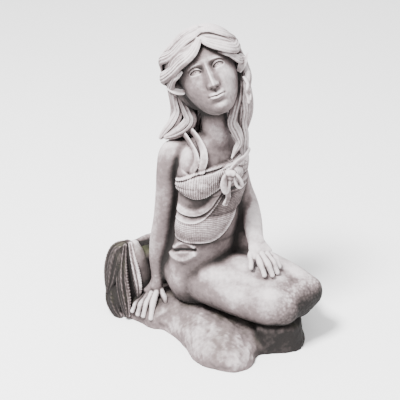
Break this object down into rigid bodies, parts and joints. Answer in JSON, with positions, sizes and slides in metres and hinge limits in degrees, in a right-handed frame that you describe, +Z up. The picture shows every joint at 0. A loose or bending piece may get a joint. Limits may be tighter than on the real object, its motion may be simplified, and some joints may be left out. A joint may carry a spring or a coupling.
{
  "type": "seated garden fairy statue",
  "caption": "Cast stone fairy seated on a low rock, leaning on one hand, with a tail-like skirt that wraps her legs and ends in a hanging fin.",
  "frame": {"origin": "middle of the bounding box at ground level, on the flat underside", "axes": "+Z up. The figure looks towards -Y, turned a little to +X, with her knees towards +X and the fin towards -X."},
  "size_m": [0.3409, 0.2829, 0.4911],
  "materials": {
    "cast_stone": "weathered grey cast stone with a brown wash in the hollows"
  },
  "bodies": {
    "root": {"seated_fairy": "cast_stone"}
  },
  "joints": []
}
